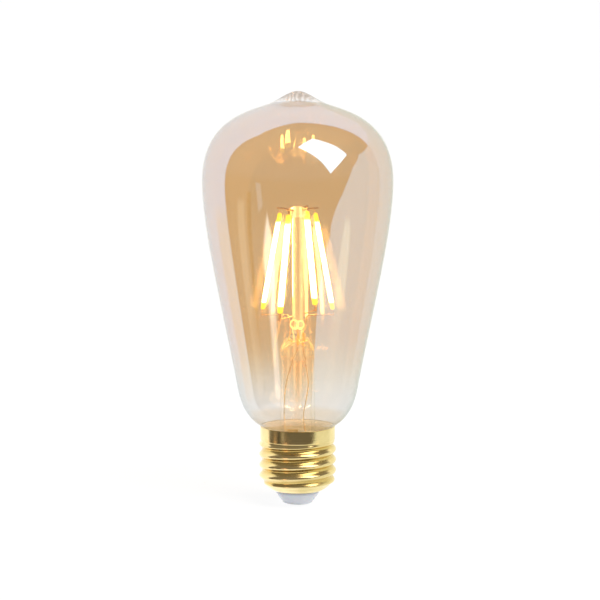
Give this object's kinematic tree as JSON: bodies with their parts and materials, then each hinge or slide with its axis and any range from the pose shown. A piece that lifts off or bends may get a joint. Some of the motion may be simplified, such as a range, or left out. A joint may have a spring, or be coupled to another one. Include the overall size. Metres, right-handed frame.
{
  "type": "smart filament light bulb",
  "caption": "Screw-cap filament lamp with a tapered amber glass bulb, LED filaments on a glass stem, and a dimming and radio circuit in the cap.",
  "frame": {"origin": "middle of the flat face of the base contact, on the lamp's axis", "axes": "+Z along the axis from the base contact to the glass tip, +X towards the first filament, right-handed"},
  "size_m": [0.0644, 0.0644, 0.141],
  "materials": {
    "amber_glass": "blown glass with a thin champagne-gold coating that fades out above the cap",
    "clear_glass": "clear, drawn",
    "nickel_wire": "drawn nickel wire, lightly heat-tinted",
    "copper_wire": "copper-clad wire, bright",
    "phosphor": "silicone loaded with yellow phosphor, lit",
    "substrate": "white ceramic strip",
    "led_chip": "small LED dies",
    "cement": "baked basing cement",
    "gold_cap": "bright gold-coloured plated brass, rolled",
    "insulator": "pale grey-white, moulded",
    "tinned_contact": "tinned",
    "solder": "dull solder",
    "circuit_board": "glass-fibre board with solder mask",
    "chip_black": "moulded black",
    "capacitor_sleeve": "shrunk sleeve",
    "inductor_winding": "enamelled copper winding",
    "resistor_body": "lacquered",
    "shield_can": "tinned steel can",
    "gilt_strip": "gilt",
    "wire_insulation": "soft insulation"
  },
  "bodies": {
    "root": {"glass_envelope": "amber_glass", "stem_flare": "clear_glass", "stem_press": "clear_glass", "exhaust_tube": "clear_glass", "centre_post": "clear_glass", "top_button": "clear_glass", "top_support_wire_1": "nickel_wire", "top_support_wire_2": "nickel_wire", "filament_coat_1": "phosphor", "filament_coat_2": "phosphor", "filament_coat_3": "phosphor", "filament_coat_4": "phosphor", "filament_strip_1": "substrate", "filament_strip_2": "substrate", "filament_strip_3": "substrate", "filament_strip_4": "substrate", "led_chips_1": "led_chip", "led_chips_2": "led_chip", "led_chips_3": "led_chip", "led_chips_4": "led_chip", "filament_tabs_1": "nickel_wire", "filament_tabs_2": "nickel_wire", "filament_tabs_3": "nickel_wire", "filament_tabs_4": "nickel_wire", "lower_support_wire_1": "nickel_wire", "lower_support_wire_2": "nickel_wire", "lower_support_wire_3": "nickel_wire", "lower_support_wire_4": "nickel_wire", "wire_curls": "nickel_wire", "lead_crimps": "copper_wire", "lead_in_wire_1": "copper_wire", "lead_in_wire_2": "copper_wire", "basing_cement": "cement", "cap_shell": "gold_cap", "insulator": "insulator", "centre_contact": "tinned_contact", "contact_solder": "solder", "driver_board": "circuit_board", "bridge_rectifier": "chip_black", "bulk_capacitor": "capacitor_sleeve", "power_inductor": "inductor_winding", "fusible_resistor": "resistor_body", "driver_chip": "chip_black", "radio_module": "shield_can", "antenna": "gilt_strip", "live_wire": "wire_insulation", "neutral_wire": "nickel_wire"}
  },
  "joints": []
}
